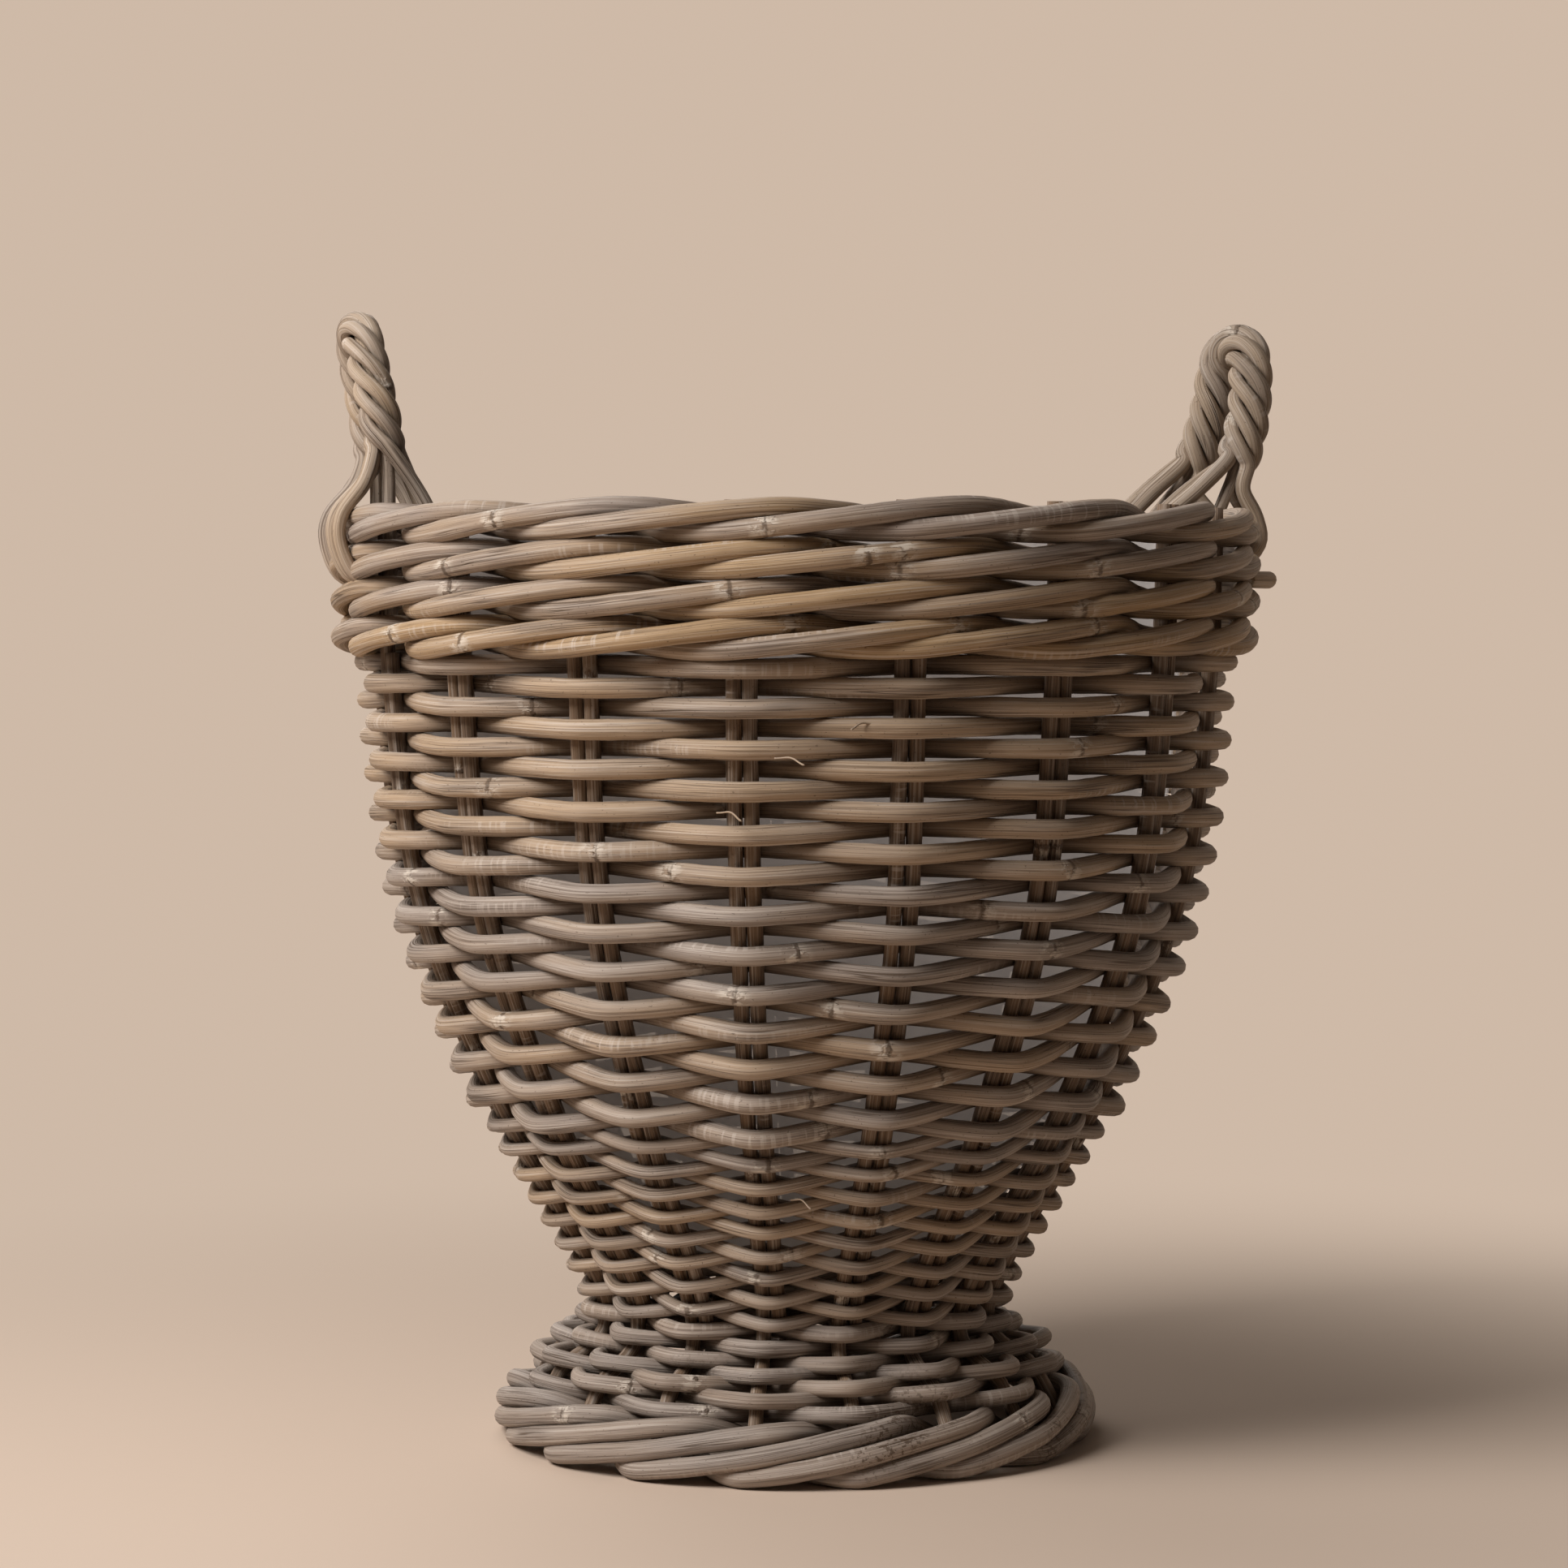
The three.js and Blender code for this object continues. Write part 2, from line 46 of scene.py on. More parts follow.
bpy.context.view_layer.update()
MM = 0.001

# %% [markdown]
# ## The wall
# All the uprights of such a basket follow one curve, seen from the side: out from the waist over
# the hip to the belly and the rim, and out again into the foot. It could be a Bezier curve drawn in
# the viewport. But rows of cane are spaced along the wall, so a table of its length is needed too,
# and a cubic through a few stations, worked out as an array, gives both.

# %% The wall's curve
WAIST_Z = 68
RIM_Z = 450
STATIONS = np.array([[133, 9], [119, 35], [96.5, WAIST_Z], [151, 170], [188.5, 266], [201.5, 366],
                     [204, RIM_Z]], float)


def smooth_line(points, per_span=80):
    """A cubic through the points, whose slope at each is half the step between its neighbours."""
    ends = np.vstack([points[:1], points, points[-1:]])
    p0, p1, p2, p3 = (ends[i:len(ends) - 3 + i, None, :] for i in range(4))
    t = np.linspace(0, 1, per_span, endpoint=False)[None, :, None]
    v1, v2 = (p2 - p0) / 2, (p3 - p1) / 2
    line = ((2 * p1 - 2 * p2 + v1 + v2) * t**3 + (3 * p2 - 3 * p1 - 2 * v1 - v2) * t**2 + v1 * t + p1)
    return np.vstack([line.reshape(-1, points.shape[1]), points[-1:]])


def length_along(line):
    """The distance from a line's start to each of its points: the sum of the steps so far."""
    steps = np.linalg.norm(np.diff(line, axis=0), axis=1)
    return np.concatenate([[0], np.cumsum(steps)])


WALL = smooth_line(STATIONS)
WALL_S = length_along(WALL)
WALL_T = np.gradient(WALL, WALL_S, axis=0)
WALL_T /= np.linalg.norm(WALL_T, axis=1)[:, None]
print("wall length:", round(WALL_S[-1], 1), "mm in", len(WALL), "points")

# %% Finding a place on the wall


def wall_at(s):
    """Radius, height and outward normal (its radial and upright parts) at a distance along the wall.

    The normal is the wall's direction turned by a quarter."""
    r = np.interp(s, WALL_S, WALL[:, 0])
    z = np.interp(s, WALL_S, WALL[:, 1])
    return r, z, np.interp(s, WALL_S, WALL_T[:, 1]), -np.interp(s, WALL_S, WALL_T[:, 0])


def wall_distance(z):
    """Distance along the wall at a height, read from the table."""
    return np.interp(z, WALL[:, 1], WALL_S)


WAIST = float(wall_distance(WAIST_Z))
print("waist:", round(WAIST, 1), "mm along the wall")

# %% [markdown]
# ## Counting round the urn
# There are seventeen places for uprights. An odd count means that one cane, woven over one and
# under one, changes sides on each turn. On a real basket each row climbs a little all the way round.
# Here rows lie level round the front and climb over three places at the back, so that the front
# looks as even as a careful weaver makes it. Places are counted from the back.

# %% Places round the urn
STAKES = 17
SPACING = 2 * np.pi / STAKES
FRONT = (STAKES - 1) / 2
RISE = 3


def angle_of(k):
    """The angle about the axis of place k: the front, plus a spacing for each place past the middle."""
    return -np.pi / 2 + (k - FRONT) * SPACING


def rows_climbed(k):
    """Whole turns made after k places, with a smooth climb over the last three of each turn."""
    turn = np.floor(k / STAKES)
    share = np.clip((k - turn * STAKES - (STAKES - RISE)) / RISE, 0, 1)
    return turn + share * share * (3 - 2 * share)


def around(r, angle, z):
    """Points at a radius, an angle and a height: radius times cosine and sine, and the height."""
    return np.stack([r * np.cos(angle), r * np.sin(angle), z + 0 * angle], axis=-1)


def facing_out(angle):
    """The level direction straight out from the axis, at each angle."""
    return around(np.ones_like(angle), angle, np.zeros_like(angle))


print("places:", STAKES, "every", round(np.degrees(SPACING), 2), "degrees")

# %% [markdown]
# ## From arrays to pieces
# Blender could sweep a curve with a bevel, and that is quick, but then nothing on the surface knows
# where along the cane it is. Here the points and faces are worked out as whole arrays, and each
# point carries attributes that a material can read. Every piece stays at the origin, with its place
# in its mesh, and says which solid it stands for.

# %% Meshes and pieces
PIECES = []


def ring_faces(rings, sides):
    """Quads between neighbouring rings, and a fan of triangles to one point at each end.

    The two end points come after the last ring."""
    i = np.arange(rings - 1)[:, None] * sides
    j = np.arange(sides)[None, :]
    jn = (j + 1) % sides
    quads = np.stack([i + j, i + jn, i + sides + jn, i + sides + j], axis=-1).reshape(-1, 4)
    j, jn = j.ravel(), jn.ravel()
    last, count = (rings - 1) * sides, rings * sides
    tris = np.concatenate([np.stack([np.full(sides, count), jn, j], axis=1),
                           np.stack([np.full(sides, count + 1), last + j, last + jn], axis=1)])
    return quads, tris


def mesh_from(name, points, quads, tris, attributes):
    """A mesh of smooth quads and flat end triangles, with its attributes on the points."""
    mesh = bpy.data.meshes.new(name)
    mesh.vertices.add(len(points))
    mesh.vertices.foreach_set("co", (points * MM).astype(np.float32).ravel())
    corners = np.concatenate([quads.ravel(), tris.ravel()]).astype(np.int32)
    starts = np.concatenate([np.arange(len(quads)) * 4, len(quads) * 4 + np.arange(len(tris)) * 3])
    mesh.loops.add(len(corners))
    mesh.loops.foreach_set("vertex_index", corners)
    mesh.polygons.add(len(starts))
    mesh.polygons.foreach_set("loop_start", starts.astype(np.int32))
    smooth = np.concatenate([np.ones(len(quads), bool), np.zeros(len(tris), bool)])
    mesh.polygons.foreach_set("use_smooth", smooth)
    for label, values in attributes.items():
        layer = mesh.attributes.new(label, "FLOAT_VECTOR", "POINT")
        layer.data.foreach_set("vector", values.astype(np.float32).ravel())
    mesh.update(calc_edges=True)
    mesh.validate()
    return mesh


def place(mesh, nodes, material):
    """An object for a mesh, at the origin, that stands for the named solids."""
    piece = bpy.data.objects.new(mesh.name, mesh)
    scene.collection.objects.link(piece)
    mesh.materials.append(material)
    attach(piece, "root")
    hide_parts(*nodes)
    PIECES.append(piece)
    return piece


print("faces of a tube of 2 rings and 12 sides:", [len(faces) for faces in ring_faces(2, 12)])

# %% [markdown]
# ## One cane
# A cane is a profile carried along a path: a ring of points, square to the path at each step. Real
# cane isn't quite round or even, so the ring swells and shrinks slowly along its length. Each point
# keeps its spot on the cane, round it and along it, so that the fibres of the material can run along
# the cane however it bends. It also keeps two marks: a tone from tan (0) to grey (1), and painted
# shade with some dirt, which darkens the cane where it lies back behind others.

# %% A tube along a path
SINES = 5
SINES_SIZE = 2.2
SWELL, SWELL_WAVE = 0.028, 60
RIPPLE, RIPPLE_WAVE = 0.014, 17
OVAL, OVAL_WAVE = 0.025, 160
PATTERN_STEP = 977.0  # mm from one seed's stretch of the pattern to the next


def wander(s, wave, seed):
    """A slow wave of size about 1: sines of random lengths near wave, with random starts."""
    pick = np.random.default_rng(seed)
    lengths = wave * pick.uniform(0.6, 2.2, SINES)
    starts = pick.uniform(0, 2 * np.pi, SINES)
    return np.sin(2 * np.pi * s[:, None] / lengths + starts).sum(axis=1) / SINES_SIZE


def tube(path, outward, radius, tone, sides, seed, dirt_and_painted_shade=0.0):
    """Rings round a path: each is its two square directions times cosine and sine, with closed ends.

    Gives points, quads, end triangles, spot on the cane (across, across, along) and marks."""
    s = length_along(path)
    along = np.gradient(path, axis=0)
    along /= np.linalg.norm(along, axis=1)[:, None]
    u = outward - (outward * along).sum(axis=1)[:, None] * along
    u /= np.linalg.norm(u, axis=1)[:, None]
    v = np.cross(along, u)
    turn = 2 * np.pi * np.arange(sides) / sides
    swell, ripple = wander(s, SWELL_WAVE, seed), wander(s, RIPPLE_WAVE, seed + 1)
    width = radius * (1 + SWELL * swell + RIPPLE * ripple)
    oval = 1 + OVAL * np.cos(2 * turn[None, :] + 2 * wander(s, OVAL_WAVE, seed + 2)[:, None])
    ring = u[:, None, :] * np.cos(turn)[None, :, None] + v[:, None, :] * np.sin(turn)[None, :, None]
    points = path[:, None, :] + ring * (width[:, None] * oval)[:, :, None]
    points = np.vstack([points.reshape(-1, 3), path[[0, -1]]])

    n = len(path)
    spot = np.empty((n, sides, 3))
    spot[:, :, 0] = radius * np.cos(turn) * MM
    spot[:, :, 1] = radius * np.sin(turn) * MM
    spot[:, :, 2] = (s[:, None] + PATTERN_STEP * seed) * MM
    middle = np.array([[0, 0, spot[0, 0, 2]], [0, 0, spot[-1, 0, 2]]])
    spot = np.vstack([spot.reshape(-1, 3), middle])
    marks = np.zeros((n, 3))
    marks[:, 0] = tone
    # the second mark is painted shade with some dirt: darker where the cane lies back
    marks[:, 1] = dirt_and_painted_shade
    marks = np.vstack([np.repeat(marks, sides, axis=0), marks[[0, -1]]])
    return points, *ring_faces(n, sides), spot, marks


straight = np.linspace([0, 0, 0], [0, 0, 100], 21)
upright_tube = tube(straight, np.broadcast_to([1.0, 0, 0], straight.shape), 4, np.zeros(21), 12, 1)
print("a tube 100 mm long:", len(upright_tube[0]), "points")

# %% Tubes made into pieces
LOOSE = {}


def join_tubes(tubes):
    """Several tubes as one: their arrays end to end, with each one's corners counted on."""
    points, quads, tris, spots, marks = zip(*tubes)
    starts = np.concatenate([[0], np.cumsum([len(p) for p in points])])
    quads = np.vstack([q + n for q, n in zip(quads, starts)])
    tris = np.vstack([t + n for t, n in zip(tris, starts)])
    return np.vstack(points), quads, tris, np.vstack(spots), np.vstack(marks)


def piece_of(tubes, name, node, material):
    """Tubes joined into one object."""
    points, quads, tris, spots, marks = join_tubes(tubes)
    mesh = mesh_from(name, points, quads, tris, {"cane": spots, "marks": marks})
    return place(mesh, [node], material)


def cane(name, node, material, path, outward, radius, tone, sides=12, seed=1, dirt_and_painted_shade=0.0):
    """One cane as an object, from its path, the way its ring's first point faces and its marks.

    The loose ends that belong to its solid are joined to it."""
    tubes = [tube(path, outward, radius, tone, sides, seed, dirt_and_painted_shade), *LOOSE.get(node, [])]
    return piece_of(tubes, name, node, material)


print("two tubes joined:", len(join_tubes([upright_tube, upright_tube])[0]), "points")

# %% [markdown]
# ## Writing nodes
# A material is a graph of nodes. It could be built by hand in the shader editor, but a script can be
# run again, and a few short helpers keep it readable: each adds one node and gives its output. A
# number or a colour is set on the socket itself, and an output is linked to it.

# %% Node helpers


class Nodes:
    """The nodes of one material or world, with short ways to add the kinds that are used here."""

    def __init__(self, tree):
        self.tree = tree

    def add(self, kind, **settings):
        """A new node with its settings."""
        node = self.tree.nodes.new(f"ShaderNode{kind}")
        for label, value in settings.items():
            setattr(node, label, value)
        return node

    def feed(self, socket, value):
        """Sets a number or a colour on a socket, or links an output to it."""
        if isinstance(value, tuple):
            socket.default_value = (*value, 1.0)
        elif isinstance(value, (int, float)):
            socket.default_value = value
        else:
            self.tree.links.new(value, socket)

    def math(self, kind, *values, clamp=False):
        """A sum, product or other step between numbers."""
        node = self.add("Math", operation=kind, use_clamp=clamp)
        for socket, value in zip(node.inputs, values):
            self.feed(socket, value)
        return node.outputs[0]

    def ramp(self, value, low, high):
        """0 at low and 1 at high, with a smooth step between them."""
        node = self.add("MapRange", interpolation_type="SMOOTHSTEP")
        for label, given in (("Value", value), ("From Min", low), ("From Max", high)):
            self.feed(node.inputs[label], given)
        return node.outputs[0]

    def noise(self, vector, scale, detail=2.0, rough=0.5):
        """Cloudy noise from 0 to 1."""
        node = self.add("TexNoise")
        given = {"Vector": vector, "Scale": scale, "Detail": detail, "Roughness": rough}
        for label, value in given.items():
            self.feed(node.inputs[label], value)
        return node.outputs[0]

    def grain(self, spot, across, along, detail=2.0, rough=0.5):
        """Noise on a cane with so many grains a metre across it and along it."""
        node = self.add("Mapping")
        node.inputs["Scale"].default_value = (across, across, along)
        self.feed(node.inputs["Vector"], spot)
        return self.noise(node.outputs[0], 1.0, detail, rough)

    def blend(self, factor, a, b):
        """Colour a where the factor is 0 and colour b where it is 1."""
        node = self.add("Mix", data_type="RGBA")
        for place_in_node, value in ((0, factor), (6, a), (7, b)):
            self.feed(node.inputs[place_in_node], value)
        return node.outputs[2]

    def bump(self, height, strength, distance):
        """A normal that leans as a surface with this height would."""
        node = self.add("Bump")
        for label, given in (("Strength", strength), ("Distance", distance), ("Height", height)):
            self.feed(node.inputs[label], given)
        return node.outputs[0]

    def split(self, vector):
        """The three parts of a vector."""
        node = self.add("SeparateXYZ")
        self.feed(node.inputs[0], vector)
        return node.outputs

    def mix_shaders(self, factor, first, second, end):
        """Two shaders mixed by a factor, into the graph's last node."""
        node = self.add("MixShader")
        for socket, value in zip(node.inputs, (factor, first, second)):
            self.feed(socket, value)
        self.feed(end.inputs[0], node.outputs[0])


print("node helpers:", [name for name in vars(Nodes) if not name.startswith("_")])

# %% [markdown]
# ## Rattan
# Rattan is a vine: fine dark fibres run along it, there is a scar ring with a pale torn edge at each
# old leaf, and weather turns it from tan to grey. A picture of bark could be wrapped round each cane,
# but it would repeat and show a seam. So the fibres are noise stretched along the cane, the rings are
# cells along its length, and layers of colour are laid over each other by such masks.

# %% Marks along a cane
RINGS_A_METRE = 3.6


def scar_rings(pen, along, blot):
    """A thin ring and a torn collar about it, from the distance to the nearest scattered point."""
    wavy = pen.math("ADD", along, pen.math("MULTIPLY", blot, 0.004))
    cells = pen.add("TexVoronoi", voronoi_dimensions="1D")
    cells.inputs["Scale"].default_value = RINGS_A_METRE
    pen.feed(cells.inputs["W"], wavy)
    away = pen.math("DIVIDE", cells.outputs["Distance"], RINGS_A_METRE)
    ring = pen.math("SUBTRACT", 1.0, pen.ramp(away, 0.0004, 0.0016))
    collar = pen.math("SUBTRACT", 1.0, pen.ramp(away, 0.002, 0.009))
    return ring, pen.math("MULTIPLY", collar, pen.ramp(blot, 0.46, 0.56))


def cracks(pen, spot, patch):
    """Lines along the cane where a noise is just at its middle, only in some patches."""
    line = pen.grain(spot, 420, 6, 1.0)
    off = pen.math("ABSOLUTE", pen.math("SUBTRACT", line, 0.5))
    crack = pen.math("SUBTRACT", 1.0, pen.ramp(off, 0.004, 0.03))
    return pen.math("MULTIPLY", crack, pen.ramp(patch, 0.5, 0.66))


def scuffs(pen, spot):
    """Short pale bars across the cane, only where a slow noise is high."""
    bars = pen.ramp(pen.grain(spot, 30, 420, 1.0), 0.52, 0.6)
    return pen.math("MULTIPLY", bars, pen.ramp(pen.grain(spot, 60, 7, 1.0), 0.6, 0.7))


def soil_flecks(pen):
    """Flecks of soil near the floor: fine noise, in some patches, that fades out with height."""
    here = pen.add("TexCoord").outputs["Object"]
    low = pen.math("SUBTRACT", 1.0, pen.ramp(pen.split(here)[2], 0.02, 0.07))
    fleck = pen.ramp(pen.noise(here, 420.0, 3.0, 0.6), 0.53, 0.6)
    patches = pen.ramp(pen.noise(here, 22.0, 2.0, 0.5), 0.55, 0.68)
    return pen.math("MULTIPLY", pen.math("MULTIPLY", low, fleck), patches)


print("scar rings every", round(1000 / RINGS_A_METRE), "mm or so")

# %% Rattan material
PALE_FIBRE = (0.59, 0.515, 0.45)
TORN_FIBRE = (0.68, 0.6, 0.51)
SOIL = (0.07, 0.042, 0.024)


def rattan(name, tan, grey, dark, soil=0.0):
    """A cane material: tan and grey mixed by tone, under layers of (mask, amount, colour)."""
    mat = bpy.data.materials.new(name)
    mat.use_nodes = True
    pen = Nodes(mat.node_tree)
    skin = mat.node_tree.nodes["Principled BSDF"]
    spot = pen.add("Attribute", attribute_name="cane").outputs["Vector"]
    tone, dirt_and_painted_shade, _ = pen.split(pen.add("Attribute", attribute_name="marks").outputs["Vector"])

    fibre = pen.grain(spot, 1400, 13, 4.0, 0.7)
    streak = pen.grain(spot, 560, 8, 3.0, 0.62)
    patch = pen.grain(spot, 90, 16)
    blot = pen.grain(spot, 240, 150, 3.0, 0.6)
    speck = pen.ramp(pen.grain(spot, 900, 700, 1.0), 0.7, 0.76)
    ring, torn = scar_rings(pen, pen.split(spot)[2], blot)
    crack = cracks(pen, spot, patch)

    layers = [
        (pen.ramp(streak, 0.5, 0.74), 0.5, PALE_FIBRE), (pen.ramp(streak, 0.47, 0.26), 0.5, dark),
        (pen.ramp(fibre, 0.5, 0.66), 0.62, dark), (pen.ramp(fibre, 0.47, 0.33), 0.45, PALE_FIBRE),
        (pen.ramp(patch, 0.56, 0.76), 0.34, dark), (scuffs(pen, spot), 0.4, PALE_FIBRE),
        (pen.math("MULTIPLY", torn, pen.ramp(fibre, 0.64, 0.46)), 0.75, TORN_FIBRE),
        (pen.math("MULTIPLY", ring, pen.ramp(blot, 0.62, 0.45)), 0.7, dark),
        (crack, 0.75, dark), (speck, 0.55, dark)]
    if soil:
        layers.append((soil_flecks(pen), soil, SOIL))
    # painted shade with some dirt: the second mark darkens the cane where it lies back behind others
    layers.append((dirt_and_painted_shade, 0.72, dark))
    patchy = pen.math("MULTIPLY", pen.math("SUBTRACT", patch, 0.5), 1.5)
    colour = pen.blend(pen.math("ADD", tone, patchy, clamp=True), tan, grey)
    for mask, amount, over in layers:
        colour = pen.blend(pen.math("MULTIPLY", mask, amount), colour, over)
    pen.feed(skin.inputs["Base Color"], colour)

    skin.inputs["Specular IOR Level"].default_value = 0.25
    rough = pen.math("ADD", pen.math("MULTIPLY", fibre, 0.25), 0.42)
    pen.feed(skin.inputs["Roughness"], rough)
    height = pen.math("MULTIPLY", fibre, -0.55)
    for mask, amount in ((streak, 0.7), (ring, 0.8), (torn, 0.6), (crack, -0.7)):
        height = pen.math("ADD", height, pen.math("MULTIPLY", mask, amount))
    pen.feed(skin.inputs["Normal"], pen.bump(height, 0.7, 0.0009))
    return mat


DARK = (0.065, 0.038, 0.021)
STAKE_DARK = (0.045, 0.026, 0.016)
bowl_rattan = rattan("bowl_rattan", (0.41, 0.295, 0.195), (0.325, 0.268, 0.226), DARK)
stake_rattan = rattan("stake_rattan", (0.21, 0.13, 0.074), (0.17, 0.12, 0.085), STAKE_DARK)
rim_rattan = rattan("rim_rattan", (0.39, 0.26, 0.142), (0.335, 0.27, 0.225), DARK)
foot_rattan = rattan("foot_rattan", (0.33, 0.245, 0.178), (0.318, 0.268, 0.233), DARK, soil=0.75)
handle_rattan = rattan("handle_rattan", (0.40, 0.295, 0.2), (0.345, 0.28, 0.23), DARK)
print("materials:", len(bpy.data.materials))

# %% [markdown]
# ## Loose ends
# An old basket has a few: a cut rod that stands out beside the rim, and slivers of fibre torn from
# the weavers. They could be hair, but there are only five, so each is a small tube of its own. It is
# joined to the cane that it comes from, because it isn't a piece of the urn by itself.

# %% Loose ends
SLIVER_R = 0.45
CUT_R = 4.2


def sliver(azimuth, r, z, length, lift, seed):
    """A torn fibre: it runs along the cane and rises from it as the square of the way gone."""
    t = np.linspace(0, 1, 16)
    angle = np.radians(azimuth) + length * t / r
    path = around(r + lift * t * t, angle, z + 0.4 * lift * t * t * np.sin(5 * t))
    return tube(path, facing_out(angle), SLIVER_R, np.full(16, 0.3), 6, seed)


cut_angle = np.radians(np.linspace(-20.5, -12.5, 14))
cut_path = around(np.linspace(218, 231, 14), cut_angle, np.full(14, 416.0))
LOOSE["rim_wale_2"] = [tube(cut_path, facing_out(cut_angle), CUT_R, np.full(14, 0.2), 14, 90)]
LOOSE["bowl_weaver_4"] = [sliver(-107, 210.5, 337, 13, 7, 91), sliver(-95, 209, 352, -11, 6, 94)]
LOOSE["bowl_weaver_3"] = [sliver(-114, 209, 313, 12, 8, 92)]
LOOSE["hip_weaver_2"] = [sliver(-105.4, 139, 133, 9, 8, 93)]
print("loose ends:", sum(len(tubes) for tubes in LOOSE.values()))

# %% [markdown]
# ## Uprights
# Each place holds two rods side by side: a main stake that runs on through the waist into the
# foot, and a bye-stake that starts at the waist. Beside the handles the bye-stake stops under the
# rim's wale, because the handle's bow goes in there. A straight cylinder could be bent by a curve
# modifier, but the wall's table already gives every point of a rod, so its path is read from it.

# %% Stakes
STAKE_R = 3.6
PAIR = 3.75  # how far each rod of a pair stands from the middle of its place
WALE_BANDS = 4
WALE_PITCH = 17.2
WALE_FLOOR = RIM_Z - WALE_BANDS * WALE_PITCH + 0.3
BOW_PLACES = [3, 4, 12, 13]


def stake(kind, k, offset, low, high):
    """A rod up the wall: the wall's point at each distance, shifted sideways by offset."""
    s = np.linspace(low, high, int((high - low) / 5) + 2)
    r, z, nr, nz = wall_at(s)
    seed = 100 + 2 * k + (offset > 0)
    angle = angle_of(k) + (offset + 0.25 * wander(s, 120, seed)) / r
    tone = 0.45 + 0.25 * wander(s, 200, seed + 5)
    name = f"{kind}_{k + 1:02d}"
    cane(f"{name}_rod", name, stake_rattan, around(r, angle, z), around(nr, angle, nz),
         STAKE_R, tone, 10, seed)


for k in range(STAKES):
    stake("main_stake", k, -PAIR, 0, WALL_S[-1])
    top = float(wall_distance(WALE_FLOOR)) if k in BOW_PLACES else WALL_S[-1]
    stake("bye_stake", k, PAIR, WAIST, top)
print("stakes:", len(PIECES))

# %% [markdown]
# ## The bowl's weave
# Plain weave: the cane lies in front of one pair of rods and behind the next. A plain sine would
# make it look like wire mesh. Cane is stiff: it runs straight between the pairs and bends over each,
# so its distance from the wall is a wave with straight flanks and round tops. Thin cane is used over
# the hip, where the turns are tight, and thick cane above. The rows change between tan and grey with
# height, as cane from different bundles does.

# %% Rows of the bowl
THIN_R = 3.25
THICK_R = 4.6
THIN_ROWS = 16
THIN_PITCH = 6.7
CLOSEST_PITCH = 9.1  # the thick rows are spread evenly, and no closer than this
FIRST_ROW = 3.5
LAST_ROW = 4.55
STEP_ROOM = 1.2  # for the step from thin cane to thick
WEAVE_START = WAIST + FIRST_ROW
WEAVE_TOP = float(wall_distance(WALE_FLOOR)) - LAST_ROW
THIN_TOP = WEAVE_START + THIN_ROWS * THIN_PITCH
THICK_ROWS = int((WEAVE_TOP - THIN_TOP - STEP_ROOM) // CLOSEST_PITCH) + 1
THICK_PITCH = (WEAVE_TOP - THIN_TOP + THIN_PITCH / 2) / (THICK_ROWS - 0.5)


def bowl_row(rows):
    """Distance along the wall after a number of rows; the pitch widens over the last thin row."""
    widen = np.clip(rows - (THIN_ROWS - 1), 0, 1)
    thick = np.maximum(rows - THIN_ROWS, 0)
    step = (THICK_PITCH - THIN_PITCH) / 2
    return WEAVE_START + (rows - thick) * THIN_PITCH + widen**2 * step + thick * THICK_PITCH


print("rows:", THIN_ROWS + THICK_ROWS, "thick pitch", round(THICK_PITCH, 2))

# %% Bowl weavers
BEND = 0.94  # 1 would bend the cane in sharp corners, and less makes it rounder
ROW_DRIFT, WALL_DRIFT, TONE_DRIFT = 0.5, 0.25, 0.16
TAIL = 0.3  # how far a cane's end goes on behind its last pair, in places
TONE_Z = [0, 66, 100, 112, 140, 152, 188, 198, 222, 232, 280, 292, 345, 380, 460]
TONE = [0.85, 0.75, 0.62, 0.3, 0.35, 0.85, 0.8, 0.3, 0.3, 0.95, 0.9, 0.18, 0.12, 0.4, 0.4]


def over_under(k):
    """1 in front of odd places, -1 behind even ones: the arcsine of a cosine that stops short of 1."""
    return np.arcsin(-BEND * np.cos(np.pi * k)) / np.arcsin(BEND)


def weave(name, material, first, last, radius, row_distance, shift, seed, step, level=0.0):
    """A woven cane: the wall's point for its row, moved along the normal by over_under.

    With level above 0 that move turns towards the horizontal, as stiff cane keeps its height."""
    k = np.arange(first, last, step)
    s_row = row_distance(rows_climbed(k))
    run = k * SPACING * wall_at(s_row)[0]
    s_row = s_row + ROW_DRIFT * wander(run, 190, seed + 3)
    r, z, nr, nz = wall_at(s_row)
    clear = over_under(1 + 0.75 * PAIR / (SPACING * r))
    out = (STAKE_R + radius) / clear * over_under(k) + WALL_DRIFT * wander(run, 140, seed + 4)
    angle = angle_of(k) + shift / r
    tone = np.clip(np.interp(z, TONE_Z, TONE) + TONE_DRIFT * wander(run, 700, seed + 6), 0, 1)
    r = r + out * (nr + level * (1 / nr - nr))
    z = z + out * nz * (1 - level)
    # painted shade with some dirt: a little darker all along, and more where the cane goes behind a
    # pair
    dirt_and_painted_shade = np.clip(0.3 - 0.9 * over_under(k), 0, 1)
    cane(f"{name}_cane", name, material, around(r, angle, z), around(nr, angle, nz), radius,
         tone, 12, seed, dirt_and_painted_shade)


def share_rows(name, first_row, last_row, count, radius, seed, step):
    """Several canes share the rows between them, each starting behind a pair of rods."""
    stakes = (last_row - first_row) * STAKES - (1 if last_row == THIN_ROWS + THICK_ROWS else 0)
    for i in range(count):
        first = first_row * STAKES + 2 * round(stakes * i / count / 2)
        last = first_row * STAKES + 2 * round(stakes * (i + 1) / count / 2)
        weave(f"{name}_{i + 1}", bowl_rattan, first - TAIL, last + TAIL, radius, bowl_row,
              0, seed + 10 * i, step)


share_rows("hip_weaver", 0, THIN_ROWS, 2, THIN_R, 300, 1 / 14)
share_rows("bowl_weaver", THIN_ROWS, THIN_ROWS + THICK_ROWS, 4, THICK_R, 400, 1 / 20)
print("pieces with the bowl's weavers:", len(PIECES))

